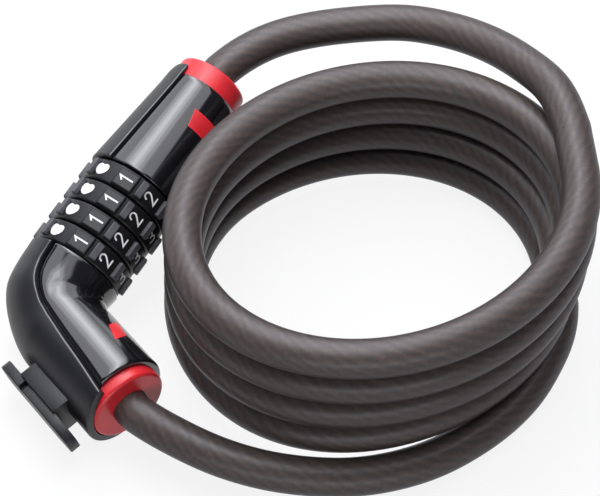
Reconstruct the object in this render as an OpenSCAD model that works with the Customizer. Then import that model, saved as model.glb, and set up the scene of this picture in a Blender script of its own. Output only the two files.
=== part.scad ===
// Coiled combination cable lock, standing on a table the way it is put away.
// A bent lock head holds one end of a sleeved steel cable. Four number dials turn on
// a slotted barrel, and the plug on the other cable end slides out along the dial axis.
// Head frame: origin at the bend of the head, +Z along the dials towards the plug,
// +X to the outside of the bend, +Y up. Millimetres throughout.

/* [Cable] */
// Outside diameter of the sleeved cable
cable_d = 12; // [9:0.5:12.5]
// Whole turns in the stack
coil_turns = 4; // [2:1:5]
// Mean length of the oval stack, across its long diagonal
coil_long = 127; // [115:1:140]
// Mean width of the oval stack, across its short diagonal
coil_short = 111; // [100:1:112]
// Clear gap between neighbouring turns
coil_gap = 0.5; // [0.45:0.05:2]

/* [Dials] */
// Diameter over the finger ribs
dial_d = 34; // [32:0.5:35]
// Width of one dial
dial_w = 8; // [7:0.1:10]
// Clear gap beside each dial
dial_gap = 0.3; // [0.2:0.05:0.6]
// Diameter of the dial between its ribs
dial_rim_d = 30.8; // [29:0.2:31.4]
// Distance across the two opposite thumb pads
dial_pad_d = 31.8; // [31.2:0.2:32.6]
// Width of a thumb pad around the dial
pad_w = 7.4; // [5:0.1:7.6]
// Length of a thumb pad along the axis
pad_len = 6.8; // [5:0.1:6.9]
// Width of a finger rib around the dial
rib_w = 2.4; // [1:0.1:2.8]
// Length of a finger rib along the axis
rib_len = 5.8; // [4:0.1:6.8]
// Inside diameter of a dial
dial_bore = 24.1; // [23.6:0.1:25]

/* [Lock mechanism] */
// Diameter of the slotted barrel that the dials turn on
barrel_d = 18; // [16:0.2:18.6]
// Diameter of the barrel's seat flange
flange_d = 24; // [22:0.5:25]
// Thickness of the barrel's seat flange
flange_t = 2; // [1.6:0.1:2.6]
// Diameter of the barrel's lower spigot
spigot_d = 14; // [11:0.5:15]
// Length of the barrel's lower spigot
spigot_len = 6; // [4:0.5:6.5]
// Diameter of the bolt pin
pin_d = 10; // [8:0.2:11]
// Width of the teeth on the bolt pin
tooth_w = 3; // [2:0.1:3.6]
// Thickness of the teeth along the pin
tooth_t = 2.3; // [1.6:0.1:2.5]
// Radius that the teeth reach to
tooth_reach = 10.4; // [9.8:0.1:10.8]
// Outside diameter of a code wheel
wheel_d = 24; // [23.4:0.1:24]
// Width of a code wheel along the axis
wheel_w = 5.2; // [4:0.1:5.4]
// Thickness of the retaining ring above the top wheel
ring_t = 1; // [0.6:0.1:1.1]
// Shank diameter of the barrel screw
screw_d = 4; // [3:0.5:5]
// Head diameter of the barrel screw
screw_head_d = 17; // [15.5:0.5:20]
// Head height of the barrel screw
screw_head_h = 2.5; // [1.5:0.1:3.5]

/* [Lock body] */
// Bend between the dial axis and the cable arm, in degrees
bend = 72; // [65:1:80]
// Radius of the bend's centre line
bend_r = 10; // [8:0.5:12]
// Distance from the bend point to the body's dial face
body_top = 16.3; // [15.8:0.1:20]
// Body diameter at the dials
body_d = 32.6; // [31:0.2:34]
// Body diameter at the bend
bend_d = 28.6; // [28:0.2:30]
// Body diameter at the arm's end
arm_d = 29.4; // [28.4:0.2:30.4]
// Length of the arm from the bend point to its end
arm_len = 42; // [40:0.5:50]
// Diameter of the hollow inside the bend
hollow_d = 20; // [18:0.2:20.4]
// Thickness of the matte covers
cover_t = 2; // [1.6:0.1:2.4]
// How far the matte covers stand proud of the glossy shells
cover_proud = 0.6; // [0.2:0.1:0.9]
// Distance from the axis to the matte cover's edge, at the dials
seam_top = 3.8; // [2:0.1:6]
// Distance from the axis to the matte cover's edge, around the bend
seam_bend = 1; // [0:0.1:3]
// Distance from the axis to the matte cover's edge, at the arm's end
seam_arm = 3.2; // [1:0.1:5]
// Width of the groove beside the matte covers
seam_gap = 0.7; // [0.3:0.1:1.2]
// How far the body's cover reaches over the arm's red cap
arm_lap = 2; // [0:0.1:2.4]

/* [Bracket tongue] */
// Length of the tongue plate
tongue_len = 36; // [26:0.5:40]
// Width of the tongue plate
tongue_w = 12; // [11:0.5:15]
// Thickness of the tongue plate
tongue_t = 3.4; // [2:0.1:4]
// Distance from the arm axis to the tongue plate
tongue_out = 19.1; // [18:0.1:21]
// Distance from the bend point to the middle of the tongue
tongue_at = 26; // [24:0.5:28]
// Corner chamfer of the tongue plate
tongue_chamfer = 4; // [1:0.1:5]
// Width of the latch notch in the tongue plate
notch_w = 2.4; // [1.5:0.1:4]
// Length of the pedestal under the tongue plate
pedestal_len = 18; // [12:0.5:22]
// Width of the pedestal under the tongue plate
pedestal_w = 14; // [8:0.5:16]

/* [Plug] */
// Length of the plug's shell
plug_len = 38.6; // [36:0.2:46]
// Plug diameter at the dials
plug_d = 32.6; // [31:0.2:33.2]
// Plug diameter at the cable end
plug_end_d = 25.4; // [24.6:0.2:27]
// Half angle of the matte cover around the plug, in degrees
cover_half = 72; // [60:1:76]
// How far the plug's cover reaches over the red cap
cover_lap = 3.6; // [2:0.1:5]

/* [Cable ends] */
// Diameter of the plug's red cap
plug_cap_d = 24; // [23:0.2:24]
// Diameter of the arm's red cap
arm_cap_d = 25.4; // [23:0.2:26]
// Length of the plug's red cap
plug_cap_len = 7; // [5.2:0.1:9]
// Length of the arm's red cap
arm_cap_len = 4; // [3:0.1:6]
// Diameter of the spigot that holds a cap
cap_spigot_d = 20; // [18.6:0.2:20.4]
// Length of the spigot that holds a cap
cap_spigot_len = 4; // [3:0.2:5]
// Edge rounding of the red caps
cap_round = 1.2; // [0.4:0.1:1.6]
// Diameter of the crimped ferrules
ferrule_d = 17; // [15:0.2:18]
// Length of cable held in the arm's ferrule
crimp_len = 15.4; // [10:0.2:15.4]
// Diameter of the cross pins through the ferrules
cross_pin_d = 3.5; // [2:0.1:4]

/* [Red inlays] */
// Length of an inlay along its housing
inlay_len = 6.4; // [4:0.1:8]
// Width of an inlay at its end near the red cap
inlay_w = 23; // [16:0.2:23.6]
// Width of the plug's inlay at its other end
plug_inlay_w = 22.4; // [14:0.2:23.4]
// Width of the arm's inlay at its other end
arm_inlay_w = 20.2; // [14:0.2:23.4]
// Depth of an inlay
inlay_t = 0.8; // [0.5:0.1:1]
// Distance from the plug's cable end to its inlay
plug_inlay_back = 9.4; // [4:0.1:10]
// Distance from the arm's end to its inlay
arm_inlay_back = 11.4; // [8:0.1:12]

/* [Hidden] */
$fn = 64;

// Where the head stands and how it is turned on the table
head_at = [-24.29, -17.48, 15.68];
head_turn = [76, 4, 145];
// Where the middle of the coil lies on the table, and the height of its lowest turn
coil_at = [80.76, -6.46, 0];
coil_low = 7.2;

// Fits: a seat that doesn't move, a turning or sliding fit, and the space to a moving piece
seat_gap = 0.03;
run_gap = 0.05;
free_gap = 0.4;
// Extra reach of a cutting tool past the face that it cuts
over = 1;

// Counts and angles of the dials
dial_count = 4;
mark_count = 10;
mark_step = 360 / mark_count;
index_angle = 70;
first_pad = 1;
pad_every = mark_count / 2;
rib_turn = 21;
detent_d = 1.4;
key_w = 2;
key_h = 1;
keys = 2;
dial_chamfer = 0.4;

// Places along the dial axis
dial_pitch = dial_w + dial_gap;
dials_low = body_top + dial_gap;
plug_low = dials_low + dial_count * dial_pitch;
plug_high = plug_low + plug_len;
plug_exit = plug_high + plug_cap_len;
barrel_top = plug_low - dial_gap;
barrel_seat = body_top - flange_t;
barrel_low = barrel_seat - spigot_len;
wheel_in = (dial_w - wheel_w) / 2;
tooth_mid = -dial_gap / 2;
pin_tip = barrel_seat + dial_gap;
slot_w = tooth_w + free_gap;
screw_reach = spigot_len - 1.2;
bend_run = bend_r * tan(bend / 2);
recess = cover_t - cover_proud;

// Pieces inside the plug
bulkhead_t = 6;
pin_flange_t = 3;
stud_d = 6;
stud_len = 4;
pin_wall = 1.2;
pin_flange_low = plug_low + bulkhead_t;
plug_ferrule_low = pin_flange_low + pin_flange_t;
plug_spigot_low = plug_high - cap_spigot_len;
plug_pin_at = plug_ferrule_low + stud_len + pin_wall + cross_pin_d / 2;
plug_crimp_low = plug_pin_at + cross_pin_d / 2 + pin_wall;
cross_pin_in = 3.5;

// Pieces inside the arm
arm_exit = arm_len + arm_cap_len;
arm_spigot_low = arm_len - cap_spigot_len - 2;
arm_crimp_low = arm_spigot_low - crimp_len;
arm_ferrule_base = 6;
arm_ferrule_low = arm_crimp_low - arm_ferrule_base;
arm_hollow_wall = 1.5;
hollow_step = 1.6;

// The knee's extra radius over the limbs, and how far the limbs reach into it
knee_proud = 0.12;
knee_lap = 1.2;

// Detent spring: a leaf in a groove of the barrel, with one bump under each code wheel
leaf_w = 4;
leaf_t = 0.5;
leaf_groove = 1;
bump_r = 0.8;

// How far the pedestal reaches into the tongue plate
pedestal_lap = 0.6;
// Shape of the tongue plate's notch, and where it sits towards the bend
notch_depth = 2.4;
notch_off = 7;

inlay_proud = 0.1;
arm_pin_at = arm_ferrule_low + arm_ferrule_base / 2;

// Cable routes, chosen by hand as offsets from the coil's middle
lead_straight = 4;
lead_gap = 0.1;
join_straight = 3;
lead_sides = 12;
coil_sides = 6;
coil_rings = 24;
coil_turned = 35;
coil_from = 12;
plug_lead_points = [[-44.4, 74.6, 41], [-36.4, 79.5, 42], [-27, 82.9, 42.9], [-16, 84.8, 43.9],
    [-4, 85.2, 45.2], [8, 84.2, 46.8], [20, 80, 48.8], [31, 73.5, 51], [40.8, 65, 53.2],
    [49, 54.8, 55.4], [55, 45, 57]];
arm_lead_points = [[60.5, -13, 6.4], [54.8, -25.4, 6.2], [48, -37.4, 6.2], [39.6, -47, 6.2],
    [29.6, -55.2, 6.3], [17, -62.4, 6.8], [3.5, -66.8, 7.6], [-10, -69.2, 8.7], [-23, -69.8, 10.2],
    [-36, -68.6, 11.8], [-47.5, -65.6, 13.2], [-57.8, -61.2, 14.3]];

// The wound part of the cable, from its upper straight end to its lower one
coil_pitch = cable_d + coil_gap;
coil_high = coil_low + coil_turns * coil_pitch;
coil_first = atan(coil_long / coil_short * tan(coil_from - coil_turned));
coil_last = coil_turns * coil_rings;
coil_wound = [for (k = [0 : coil_last]) coil_point(k)];
coil_in_way = unit(coil_point(0.1) - coil_point(0));
coil_out_way = unit(coil_point(coil_last) - coil_point(coil_last - 0.1));
coil_in = coil_wound[0] - cable_d * coil_in_way;
coil_out = coil_wound[coil_last] + cable_d * coil_out_way;
coil_path = concat([coil_in], coil_wound, [coil_out]);

// Least clear space between the turns, measured between the points of the path
turn_gaps = [for (i = [0 : len(coil_path) - 1], j = [0 : len(coil_path) - 1])
    if (j - i > coil_rings / 2) norm(coil_path[j] - coil_path[i]) - cable_d];
echo(least_gap_between_turns = min(turn_gaps));

matte_black = [0.16, 0.16, 0.17];
gloss_black = [0.09, 0.09, 0.10];
dial_black = [0.13, 0.13, 0.14];
signal_red = [0.83, 0.13, 0.15];
smoked_grey = [0.30, 0.27, 0.26];
steel = [0.70, 0.71, 0.73];
brass = [0.76, 0.63, 0.34];
zinc = [0.60, 0.61, 0.62];

// Vector and placing functions
function unit(v) = v / norm(v);
function about_x(p, a) = [p.x, p.y * cos(a) - p.z * sin(a), p.y * sin(a) + p.z * cos(a)];
function about_y(p, a) = [p.x * cos(a) + p.z * sin(a), p.y, p.z * cos(a) - p.x * sin(a)];
function about_z(p, a) = [p.x * cos(a) - p.y * sin(a), p.x * sin(a) + p.y * cos(a), p.z];
function turned(p) = about_z(about_y(about_x(p, head_turn.x), head_turn.y), head_turn.z);
function on_table(p) = head_at + turned(p);

module in_head() {
    translate(head_at) rotate(head_turn) children();
}

// Arm frame: +Z along the arm towards the cable, +X to the outside of the bend, -Y up
module on_arm() {
    rotate([0, 180 + bend, 0]) rotate([0, 0, 180]) children();
}

// Prism over the outside of the bend, from the seam or a distance beside it
module seam_prism(beside) {
    wide = 40;
    past = 4;
    at_bend = seam_bend + beside;
    top_slope = (seam_top - seam_bend) / (body_top - bend_run);
    arm_slope = (seam_arm - seam_bend) / (arm_len - bend_run);
    top = body_top + past;
    far = arm_len + past;
    turn = bend_run + knee_lap / 2;
    translate([0, wide, 0]) rotate([90, 0, 0]) linear_extrude(2 * wide) difference() {
        polygon([[at_bend + top_slope * (top - bend_run), top], [wide, top], [wide, -wide],
            arm_point(wide, far), arm_point(at_bend + arm_slope * (far - bend_run), far),
            arm_point(at_bend + arm_slope * (turn - bend_run), turn), [-bend_r, bend_run],
            [at_bend + top_slope * (turn - bend_run), turn]]);
        translate([-bend_r, bend_run]) circle(bend_r + at_bend);
    }
}

// Point of the arm's middle plane, in the head frame
function arm_point(x, z) = let (a = 180 + bend) [z * sin(a) - x * cos(a), z * cos(a) + x * sin(a)];

// Frustum from inside the bend to an open end, drawn on past that end along the same slope
module limb(end, end_d, grow, past) {
    slope = (end_d - bend_d) / 2 / (end - bend_run);
    mid_r = bend_d / 2 + grow;
    run = end + past - bend_run;
    translate([0, 0, bend_run - knee_lap])
        cylinder(h = run + knee_lap, r1 = mid_r - slope * knee_lap, r2 = mid_r + slope * run);
}

// The bend, a sector of a torus about the inside of the elbow, a hair wider than the limbs
module knee(grow) {
    r = bend_d / 2 + grow + knee_proud;
    translate([-bend_r, 0, bend_run]) rotate([90, 0, 0]) rotate([0, 0, -bend])
        rotate_extrude(angle = bend) intersection() {
            translate([bend_r, 0]) circle(r);
            translate([knee_lap / 2, -r]) square([bend_r + r, 2 * r]);
        }
}

// The bent body, grown or shrunk all round and drawn on past its two ends
module elbow(grow, top_past = 0, arm_past = 0) {
    limb(body_top, body_d, grow, top_past);
    knee(grow);
    on_arm() limb(arm_len, arm_d, grow, arm_past);
}

// Housing diameter at a height between two ends
function taper(z, low, low_d, high, high_d) = low_d + (high_d - low_d) * (z - low) / (high - low);
function plug_d_at(z) = taper(z, plug_low, plug_d, plug_high, plug_end_d);
function arm_d_at(z) = taper(z, bend_run, bend_d, arm_len, arm_d);

// Curved inlay on the inside of a housing, its width running from low_w to inlay_w
module inlay_shape(low, high, low_r, high_r, low_w, grow, proud) {
    deep = inlay_t + grow;
    wrap = 80;
    slope = (high_r - low_r) / (high - low);
    low_wide = low_w / 2 + grow;
    high_wide = inlay_w / 2 + grow;
    intersection() {
        rotate([0, 0, 180 - wrap]) rotate_extrude(angle = 2 * wrap)
            polygon([[low_r - slope * over - deep, low - over], [low_r - slope * over + proud, low - over],
                [high_r + slope * over + proud, high + over], [high_r + slope * over - deep, high + over]]);
        rotate([90, 0, -90]) linear_extrude(arm_len)
            polygon([[-low_wide, low - grow], [low_wide, low - grow],
                [high_wide, high + grow], [-high_wide, high + grow]]);
    }
}

module arm_inlay_shape(grow, proud) {
    high = arm_len - arm_inlay_back;
    low = high - inlay_len;
    on_arm() inlay_shape(low, high, arm_d_at(low) / 2, arm_d_at(high) / 2, arm_inlay_w, grow, proud);
}

module plug_inlay_shape(grow, proud) {
    high = plug_high - plug_inlay_back;
    low = high - inlay_len;
    inlay_shape(low, high, plug_d_at(low) / 2, plug_d_at(high) / 2, plug_inlay_w, grow, proud);
}

// Cross pin along X through a housing, from the inside wall to under the matte cover
module cross_pin(at, housing_d, grow, past) {
    far = housing_d / 2 - recess - free_gap + past;
    near = ferrule_d / 2 + cross_pin_in;
    translate([-near - grow, 0, at]) rotate([0, 90, 0])
        cylinder(h = near + far + grow, d = cross_pin_d + 2 * grow);
}

module body_shell() {
    color(gloss_black) in_head() difference() {
        elbow(0);
        difference() {
            seam_prism(0);
            elbow(-recess - seat_gap, over, over);
        }
        body_hollow();
        translate([0, 0, barrel_seat]) cylinder(h = flange_t + over, d = flange_d + 2 * seat_gap);
        translate([0, 0, barrel_low - over])
            cylinder(h = spigot_len + 2 * over, d = spigot_d + 2 * seat_gap);
        on_arm() {
            translate([0, 0, arm_ferrule_low])
                cylinder(h = arm_len, d = ferrule_d + 2 * seat_gap);
            translate([0, 0, arm_spigot_low])
                cylinder(h = arm_len, d = cap_spigot_d + 2 * seat_gap);
            cross_pin(arm_pin_at, arm_d_at(arm_pin_at), seat_gap, over);
        }
        arm_inlay_shape(seat_gap, over);
    }
}

// Hollow of the bend, between the barrel's floor and the ferrule's seat
module body_hollow() {
    cylinder(h = barrel_low, d = hollow_d);
    on_arm() cylinder(h = arm_ferrule_low - arm_hollow_wall, d = hollow_d - hollow_step);
}

module tongue() {
    long = tongue_len / 2;
    wide = tongue_w / 2;
    cut = tongue_chamfer;
    translate([0, -pedestal_w / 2, tongue_at - pedestal_len / 2])
        cube([tongue_out + pedestal_lap, pedestal_w, pedestal_len]);
    translate([tongue_out, 0, tongue_at]) rotate([0, 90, 0]) linear_extrude(tongue_t)
        difference() {
            polygon([[-long, cut - wide], [cut - long, -wide], [long - cut, -wide], [long, cut - wide],
                [long, wide - cut], [long - cut, wide], [cut - long, wide], [-long, wide - cut]]);
            translate([notch_off - notch_w / 2, -wide - over]) square([notch_w, notch_depth + over]);
        }
}

module body_cover() {
    color(matte_black) in_head() difference() {
        union() {
            intersection() {
                elbow(cover_proud, 0, arm_lap);
                seam_prism(seam_gap);
            }
            on_arm() tongue();
        }
        elbow(-recess, over, arm_lap + over);
    }
}

module body_inlay() {
    color(signal_red) in_head() arm_inlay_shape(0, inlay_proud);
}

// Red end cap with a rounded rim, a spigot into its housing and a bore for the cable
module cap(d, low, len, spigot) {
    r = d / 2;
    high = low + len;
    bore = cable_d / 2 + run_gap;
    translate([0, 0, high]) mirror([0, 0, 1]) rotate_extrude() difference() {
        union() {
            translate([0, 0]) square([r - cap_round, len]);
            translate([0, cap_round]) square([r, len - cap_round]);
            translate([r - cap_round, cap_round]) circle(cap_round);
            translate([0, len - over]) square([cap_spigot_d / 2, spigot + over]);
        }
        translate([0, -over]) square([bore, len + spigot + 2 * over]);
    }
}

module arm_cap() {
    color(signal_red) in_head() on_arm() cap(arm_cap_d, arm_len, arm_cap_len, arm_len - arm_spigot_low);
}

module arm_ferrule() {
    color(zinc) in_head() on_arm() difference() {
        translate([0, 0, arm_ferrule_low])
            cylinder(h = arm_spigot_low - arm_ferrule_low, d = ferrule_d);
        translate([0, 0, arm_crimp_low]) cylinder(h = arm_len, d = cable_d + 2 * seat_gap);
        cross_pin(arm_pin_at, arm_d_at(arm_pin_at), seat_gap, over);
    }
}

module arm_cross_pin() {
    color(steel) in_head() on_arm() cross_pin(arm_pin_at, arm_d_at(arm_pin_at), 0, 0);
}

module arm_cable_end() {
    color(smoked_grey) in_head() on_arm()
        translate([0, 0, arm_crimp_low]) cylinder(h = arm_exit - arm_crimp_low, d = cable_d);
}

module core_barrel() {
    groove_low = dials_low + free_gap;
    color(zinc) in_head() difference() {
        union() {
            translate([0, 0, barrel_low]) cylinder(h = spigot_len + flange_t / 2, d = spigot_d);
            translate([0, 0, barrel_seat]) cylinder(h = flange_t, d = flange_d);
            translate([0, 0, barrel_seat]) cylinder(h = barrel_top - barrel_seat, d = barrel_d);
        }
        translate([0, 0, barrel_seat]) cylinder(h = plug_len + barrel_top, d = pin_d + 2 * run_gap);
        translate([0, -slot_w / 2, barrel_seat + dial_gap])
            cube([flange_d, slot_w, barrel_top]);
        translate([0, 0, barrel_low - over]) cylinder(h = screw_reach + over, d = screw_d + 2 * seat_gap);
        translate([-barrel_d, -leaf_w / 2 - seat_gap, groove_low])
            cube([barrel_d / 2 + leaf_groove, leaf_w + 2 * seat_gap, leaf_len() + 2 * seat_gap]);
    }
}

function leaf_len() = barrel_top - ring_t - dials_low - 2 * free_gap;

module barrel_screw() {
    color(steel) in_head() {
        translate([0, 0, barrel_low]) cylinder(h = screw_reach - dial_gap, d = screw_d);
        difference() {
            translate([0, 0, barrel_low - screw_head_h]) cylinder(h = screw_head_h, d = screw_head_d);
            translate([-screw_d * 0.8, -0.6, barrel_low - screw_head_h - over])
                cube([screw_d * 1.6, 1.2, screw_head_h / 2 + over]);
        }
    }
}

// Leaf that keeps each dial at a number, with its bumps just inside the barrel's surface
module detent_spring() {
    low = dials_low + free_gap + seat_gap;
    face = -barrel_d / 2 + leaf_groove;
    color(steel) in_head() {
        translate([face - leaf_t, -leaf_w / 2, low]) cube([leaf_t, leaf_w, leaf_len()]);
        intersection() {
            for (i = [0 : dial_count - 1])
                translate([face - leaf_t, 0, dials_low + i * dial_pitch + dial_w / 2])
                    rotate([90, 0, 0]) cylinder(h = leaf_w / 2, r = bump_r, center = true);
            cylinder(h = plug_low, r = barrel_d / 2 - seat_gap);
            translate([face - leaf_t - bump_r, -leaf_w, 0]) cube([bump_r + leaf_t / 2, 2 * leaf_w, plug_low]);
        }
    }
}

// Open ring that keeps the wheels on the barrel and lets the pin's teeth through
module retaining_ring() {
    color(steel) in_head() translate([0, 0, barrel_top - ring_t - free_gap / 4]) difference() {
        cylinder(h = ring_t, d = wheel_d - 2 * free_gap);
        translate([0, 0, -over]) cylinder(h = ring_t + 2 * over, d = barrel_d + 2 * seat_gap);
        translate([0, -slot_w / 2 - free_gap, -over])
            cube([dial_d, slot_w + 2 * free_gap, ring_t + 2 * over]);
    }
}

// Drive keys between a code wheel and its dial
module drive_keys(grow, high) {
    reach = wheel_d / 2 + key_h + grow;
    for (k = [0 : keys - 1])
        rotate([0, 0, 90 + k * 360 / keys]) translate([0, -key_w / 2 - grow, 0])
            cube([reach, key_w + 2 * grow, high]);
}

// One dial: a chamfered ring with a finger rib after each number, or a thumb pad at the next one
module dial(place) {
    rim = dial_rim_d / 2;
    c = dial_chamfer;
    color(dial_black) in_head() translate([0, 0, dials_low + place * dial_pitch]) difference() {
        union() {
            rotate_extrude() polygon([[0, 0], [rim - c, 0], [rim, c], [rim, dial_w - c],
                [rim - c, dial_w], [0, dial_w]]);
            for (i = [0 : mark_count - 1]) rotate([0, 0, index_angle + i * mark_step])
                if (i % pad_every == first_pad)
                    translate([0, -pad_w / 2, (dial_w - pad_len) / 2]) cube([dial_pad_d / 2, pad_w, pad_len]);
                else
                    rotate([0, 0, rib_turn - mark_step]) translate([0, -rib_w / 2, (dial_w - rib_len) / 2])
                        cube([dial_d / 2, rib_w, rib_len]);
        }
        translate([0, 0, -over]) cylinder(h = dial_w + 2 * over, d = dial_bore);
        translate([0, 0, -over]) drive_keys(run_gap, dial_w + 2 * over);
    }
}

// Wheel inside a dial: its notch lines up with the pin's teeth at the opening number
module code_wheel(place) {
    bore = barrel_d / 2 + run_gap;
    low = dials_low + place * dial_pitch + wheel_in;
    color(brass) in_head() translate([0, 0, low]) difference() {
        union() {
            cylinder(h = wheel_w, d = wheel_d);
            drive_keys(0, wheel_w);
        }
        translate([0, 0, -over]) cylinder(h = wheel_w + 2 * over, r = bore);
        for (i = [0 : mark_count - 1]) rotate([0, 0, 180 + i * mark_step])
            translate([bore, 0, -over]) cylinder(h = wheel_w + 2 * over, d = detent_d);
        translate([0, -slot_w / 2 - free_gap / 4, -over])
            cube([tooth_reach + free_gap, slot_w + free_gap / 2, wheel_w + 2 * over]);
    }
}

module plug_shell() {
    bore = ferrule_d / 2 + seat_gap;
    color(gloss_black) in_head() difference() {
        translate([0, 0, plug_low]) cylinder(h = plug_len, d1 = plug_d, d2 = plug_end_d);
        plug_bed(cover_half + seam_gap / plug_end_d * 360 / PI, -recess - seat_gap, over + cover_proud);
        translate([0, 0, plug_low - over]) cylinder(h = plug_len, d = pin_d + 2 * seat_gap);
        translate([0, 0, pin_flange_low]) cylinder(h = plug_len, r = bore);
        translate([0, 0, plug_spigot_low]) cylinder(h = plug_len, d = cap_spigot_d + 2 * seat_gap);
        cross_pin(plug_pin_at, plug_d_at(plug_pin_at), seat_gap, over);
        plug_inlay_shape(seat_gap, over);
    }
}

// Sector of the plug's outside between two offsets from its surface, drawn past both ends
module plug_bed(half, inner, outer) {
    low = plug_low - over;
    high = plug_high + over;
    low_r = plug_d_at(low) / 2;
    high_r = plug_d_at(high) / 2;
    rotate([0, 0, -half]) rotate_extrude(angle = 2 * half)
        polygon([[low_r + inner, low], [low_r + outer, low], [high_r + outer, high], [high_r + inner, high]]);
}

// Matte cover over the outside of the plug, with a rounded nose that laps the red cap
module plug_cover() {
    top = plug_high + cover_lap;
    nose = plug_cap_d / 2 + run_gap;
    low_r = plug_d / 2;
    high_r = plug_end_d / 2;
    round_from = plug_high - cover_lap;
    round_r = plug_d_at(round_from) / 2 + cover_proud;
    steps = 6;
    arc = [for (k = [1 : steps]) let (a = 90 * k / steps)
        [nose + 0.3 + (round_r - nose - 0.3) * cos(a), round_from + (top - round_from) * sin(a)]];
    color(matte_black) in_head() rotate([0, 0, -cover_half]) rotate_extrude(angle = 2 * cover_half)
        polygon(concat([[low_r - recess, plug_low], [low_r + cover_proud, plug_low], [round_r, round_from]],
            arc, [[nose, top], [nose, plug_high - run_gap], [high_r - recess, plug_high - run_gap]]));
}

module plug_inlay() {
    color(signal_red) in_head() plug_inlay_shape(0, inlay_proud);
}

module plug_cap() {
    color(signal_red) in_head() cap(plug_cap_d, plug_high, plug_cap_len, cap_spigot_len);
}

module plug_ferrule() {
    color(zinc) in_head() difference() {
        translate([0, 0, plug_ferrule_low])
            cylinder(h = plug_spigot_low - plug_ferrule_low, d = ferrule_d);
        translate([0, 0, plug_ferrule_low - over])
            cylinder(h = stud_len + over + dial_gap, d = stud_d + 2 * seat_gap);
        translate([0, 0, plug_crimp_low]) cylinder(h = plug_len, d = cable_d + 2 * seat_gap);
        cross_pin(plug_pin_at, plug_d_at(plug_pin_at), seat_gap, over);
    }
}

module plug_cross_pin() {
    color(steel) in_head() cross_pin(plug_pin_at, plug_d_at(plug_pin_at), 0, 0);
}

module plug_cable_end() {
    color(smoked_grey) in_head()
        translate([0, 0, plug_crimp_low]) cylinder(h = plug_exit - plug_crimp_low, d = cable_d);
}

// Notched pin of the plug: each tooth waits under its code wheel while the lock is shut
module bolt_pin() {
    color(steel) in_head() {
        translate([0, 0, pin_tip]) cylinder(h = pin_flange_low - pin_tip, d = pin_d);
        translate([0, 0, pin_flange_low]) cylinder(h = pin_flange_t, d = ferrule_d);
        translate([0, 0, plug_ferrule_low]) cylinder(h = stud_len, d = stud_d);
        for (i = [0 : dial_count - 1])
            translate([0, -tooth_w / 2, dials_low + i * dial_pitch + tooth_mid - tooth_t / 2])
                cube([tooth_reach, tooth_w, tooth_t]);
    }
}

// Point of the coil: an oval helix that winds down clockwise from the right-hand side
function coil_point(k) = let (a = coil_first - 360 * k / coil_rings, turn = k / coil_rings)
    coil_at + [0, 0, coil_high - coil_pitch * turn]
    + about_z([coil_long / 2 * cos(a), coil_short / 2 * sin(a), 0], coil_turned);

// Ring of points square to a direction
function ring(at, way, sides) = let (side = unit(cross(way, [0, 0, 1])), up = cross(side, way))
    [for (k = [0 : sides - 1]) at + cable_d / 2 * (cos(360 * k / sides) * side + sin(360 * k / sides) * up)];

function way_at(path, i) = let (last = len(path) - 1)
    unit(path[min(i + 1, last)] - path[max(i - 1, 0)]);

// Closed tube of triangles along a path
module tube(path, sides) {
    rings = len(path);
    points = [for (i = [0 : rings - 1]) each ring(path[i], way_at(path, i), sides)];
    wall = [for (i = [0 : rings - 2], k = [0 : sides - 1])
        let (a = i * sides + k, b = i * sides + (k + 1) % sides)
        each [[a, b, a + sides], [b, b + sides, a + sides]]];
    far = (rings - 1) * sides;
    ends = [for (k = [1 : sides - 2]) each [[0, k + 1, k], [far, far + k, far + k + 1]]];
    polyhedron(points, concat(wall, ends));
}

module cable_coil() {
    color(smoked_grey) tube(coil_path, coil_sides);
}

module cable_plug_lead() {
    way = turned([0, 0, 1]);
    start = on_table([0, 0, plug_exit]) + lead_gap * way;
    route = [for (p = plug_lead_points) coil_at + p];
    color(smoked_grey) tube(concat([start, start + lead_straight * way], route,
        [coil_in - join_straight * coil_in_way, coil_in]), lead_sides);
}

module cable_arm_lead() {
    arm_way = about_z([0, 0, 1], 180);
    way = turned(about_y(arm_way, 180 + bend));
    start = on_table(about_y([0, 0, arm_exit], 180 + bend)) + lead_gap * way;
    route = [for (p = arm_lead_points) coil_at + p];
    color(smoked_grey) tube(concat([coil_out, coil_out + join_straight * coil_out_way], route,
        [start + lead_straight * way, start]), lead_sides);
}

body_shell();
body_cover();
body_inlay();
arm_cap();
arm_ferrule();
arm_cross_pin();
arm_cable_end();
core_barrel();
barrel_screw();
detent_spring();
retaining_ring();
dial(3);  // dial_1
dial(2);  // dial_2
dial(1);  // dial_3
dial(0);  // dial_4
code_wheel(3);  // code_wheel_1
code_wheel(2);  // code_wheel_2
code_wheel(1);  // code_wheel_3
code_wheel(0);  // code_wheel_4
plug_shell();
plug_cover();
plug_inlay();
plug_cap();
plug_ferrule();
plug_cross_pin();
plug_cable_end();
bolt_pin();
cable_coil();
cable_plug_lead();
cable_arm_lead();
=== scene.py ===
import math

import bmesh
import bpy
import numpy as np
from mathutils import Euler, Matrix, Vector


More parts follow.
